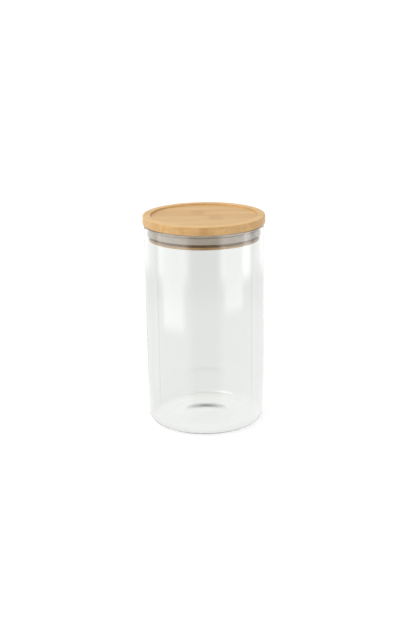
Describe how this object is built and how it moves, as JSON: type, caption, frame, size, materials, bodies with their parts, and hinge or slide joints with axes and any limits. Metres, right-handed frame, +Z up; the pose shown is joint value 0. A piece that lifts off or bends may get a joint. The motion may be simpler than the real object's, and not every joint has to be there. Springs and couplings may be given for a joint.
{
  "type": "lidded glass canister",
  "caption": "Straight clear glass storage jar with a flat turned bamboo lid whose plug carries a silicone seal; the lid lifts out and turns.",
  "frame": {"origin": "centre of the jar's foot, on the surface it stands on", "axes": "+Z up along the jar's axis, through the lid; +X along the grain of the lid's top ply"},
  "size_m": [0.1, 0.1, 0.1756],
  "materials": {
    "glass": "clear polished",
    "bamboo_cap": "fine sanded, light oil",
    "bamboo_core": "fine sanded, light oil",
    "bamboo_plug": "fine sanded, light oil",
    "silicone": "translucent, satin"
  },
  "bodies": {
    "jar": {"glass_jar": "glass"},
    "seal": {"seal_ring": "silicone"},
    "lid": {"cap_strip_1": "bamboo_cap", "cap_strip_2": "bamboo_cap", "cap_strip_3": "bamboo_cap", "cap_strip_4": "bamboo_cap", "cap_strip_5": "bamboo_cap", "cap_strip_6": "bamboo_cap", "plug_core_strip_1": "bamboo_core", "plug_core_strip_2": "bamboo_core", "plug_core_strip_3": "bamboo_core", "plug_core_strip_4": "bamboo_core", "plug_core_strip_5": "bamboo_core", "plug_face_strip_1": "bamboo_plug", "plug_face_strip_2": "bamboo_plug", "plug_face_strip_3": "bamboo_plug", "plug_face_strip_4": "bamboo_plug", "plug_face_strip_5": "bamboo_plug"}
  },
  "joints": [
    {"name": "lid_lift", "type": "slide", "parent": "jar", "child": "seal", "axis": [0, 0, 1], "range_m": [0, 0.08]},
    {"name": "lid_turn", "type": "hinge", "parent": "seal", "child": "lid", "pos_m": [0, 0, 0.162], "axis": [0, 0, 1], "continuous": true}
  ]
}
